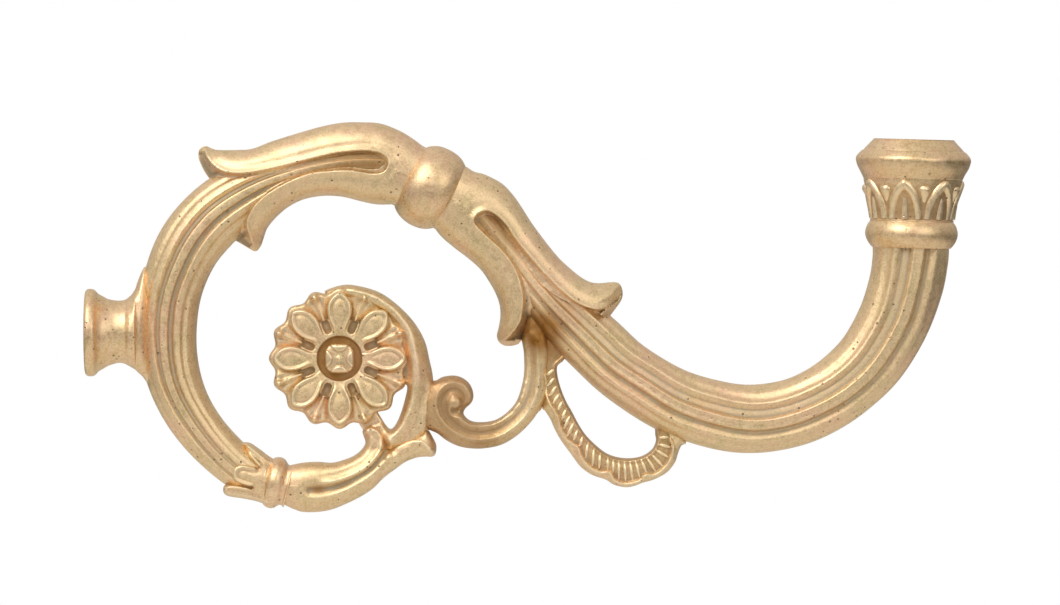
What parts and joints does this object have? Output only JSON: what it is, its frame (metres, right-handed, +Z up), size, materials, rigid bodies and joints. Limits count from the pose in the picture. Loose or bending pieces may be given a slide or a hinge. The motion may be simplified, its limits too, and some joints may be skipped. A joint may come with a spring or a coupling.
{
  "type": "ornamental lamp arm",
  "caption": "S-curved ornamental cast-brass lamp arm with a tapped mounting flange, leaf sleeves, a rosette scroll, a fluted tube and an upright lamp cup.",
  "frame": {"origin": "centre of the mounting flange's face, on the axis of its thread", "axes": "+X out along the arm from the flange, +Z up towards the lamp cup's mouth, the arm's front faces -Y"},
  "size_m": [0.2082, 0.0272, 0.0917],
  "materials": {
    "cast_brass": "raw satin casting, tumbled, with dark residue in the flutes",
    "chased_brass": "raw satin casting with chased beads and stained recesses",
    "turned_brass": "raw satin, turned then tumbled",
    "fitting_brass": "plain machined"
  },
  "bodies": {
    "root": {"root_tube_front": "cast_brass", "root_tube_back": "cast_brass", "inner_husk": "cast_brass", "outer_husk": "cast_brass", "cup_tube_front": "cast_brass", "cup_tube_back": "cast_brass", "calyx": "chased_brass", "scroll_husk": "chased_brass", "scroll_stem": "chased_brass", "rosette_front": "chased_brass", "rosette_back": "chased_brass", "link_scroll": "chased_brass", "garland": "chased_brass", "mounting_flange": "turned_brass", "knop": "turned_brass", "cup_ring": "turned_brass", "capital": "turned_brass", "socket_collar": "turned_brass", "scroll_ring": "turned_brass", "knop_nipple": "fitting_brass", "rosette_pin": "fitting_brass"}
  },
  "joints": []
}
